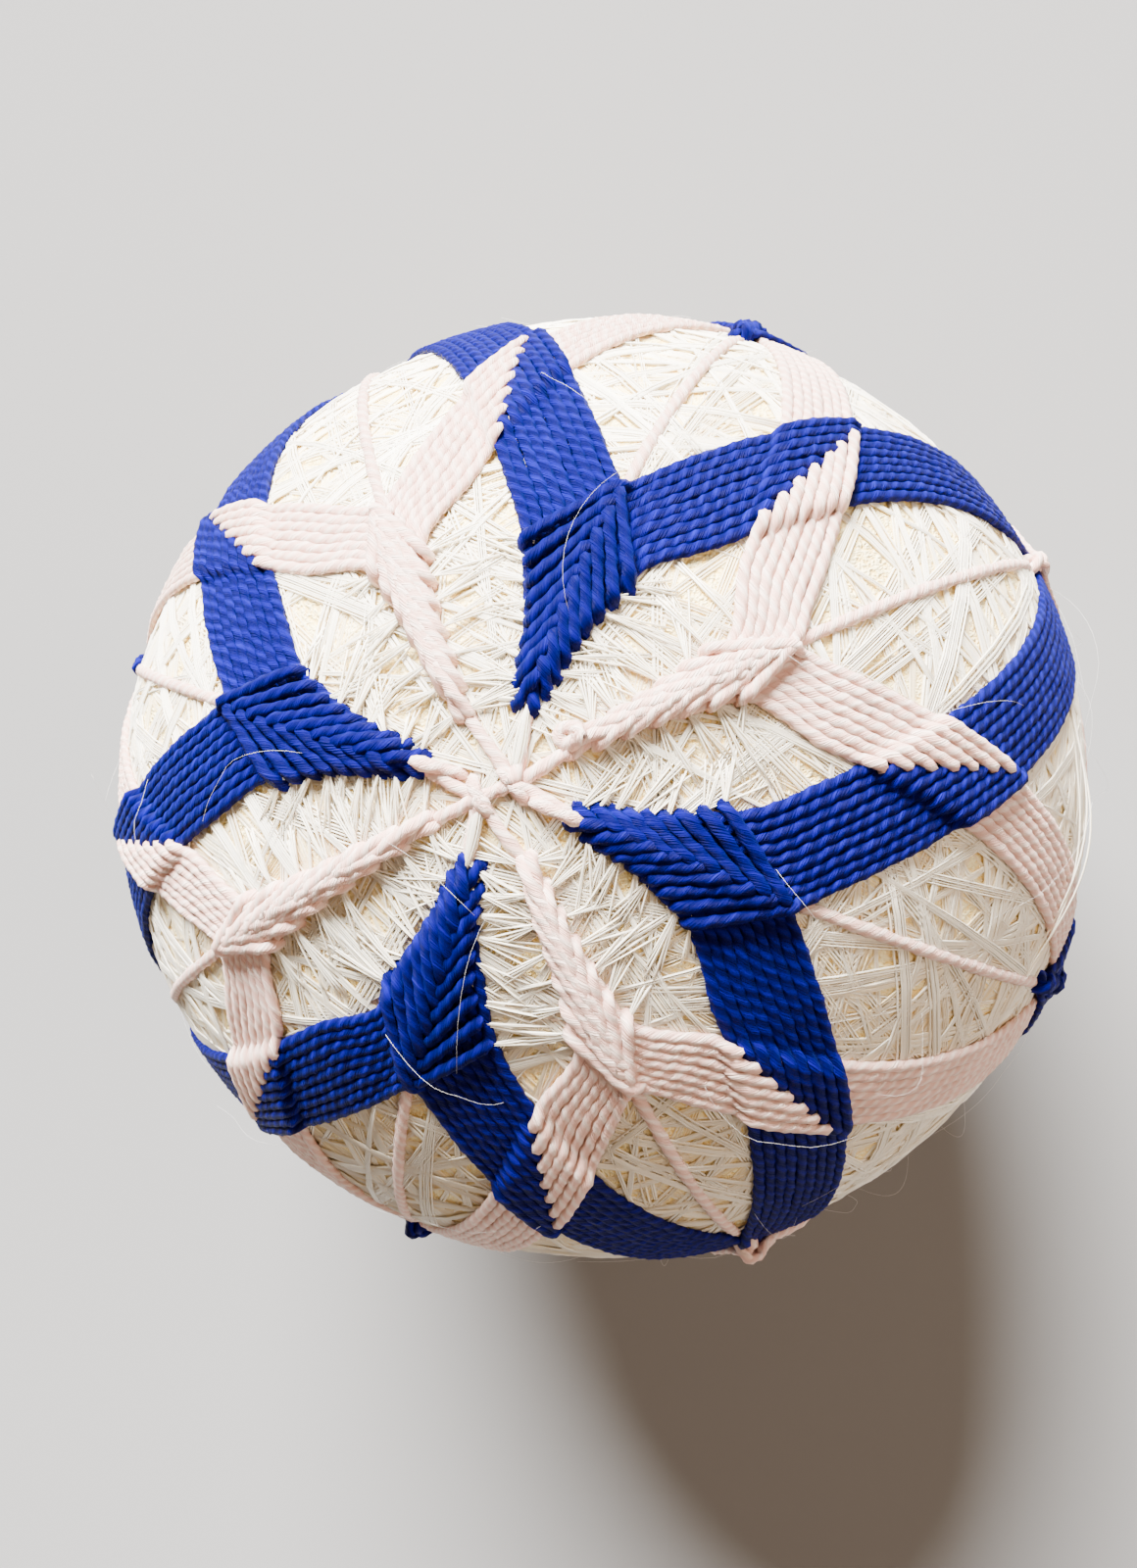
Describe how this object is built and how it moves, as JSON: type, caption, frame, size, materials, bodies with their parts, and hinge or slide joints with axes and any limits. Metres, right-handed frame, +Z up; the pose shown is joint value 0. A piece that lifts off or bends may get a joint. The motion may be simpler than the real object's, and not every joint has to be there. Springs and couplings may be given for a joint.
{
  "type": "temari ball",
  "caption": "Hand-wound thread ball with zigzag stars stitched in blue and pale pink around both poles, for play or display.",
  "frame": {"origin": "centre of the small flat spot under the lower pole, on the surface the ball stands on", "axes": "+Z up through both poles, from the lower pole to the upper one; +X along the ball's slightly wider direction"},
  "size_m": [0.0815, 0.0795, 0.0798],
  "materials": {
    "wound_thread": "fine cream and white thread wound in every direction, soft satin",
    "blue_thread": "twisted pearl cotton, royal blue, soft sheen",
    "pale_thread": "twisted pearl cotton, very pale pink, soft sheen"
  },
  "bodies": {
    "root": {"wound_core": "wound_thread", "blue_star_upper": "blue_thread", "pale_star_upper": "pale_thread", "blue_star_lower": "blue_thread", "pale_star_lower": "pale_thread"}
  },
  "joints": []
}
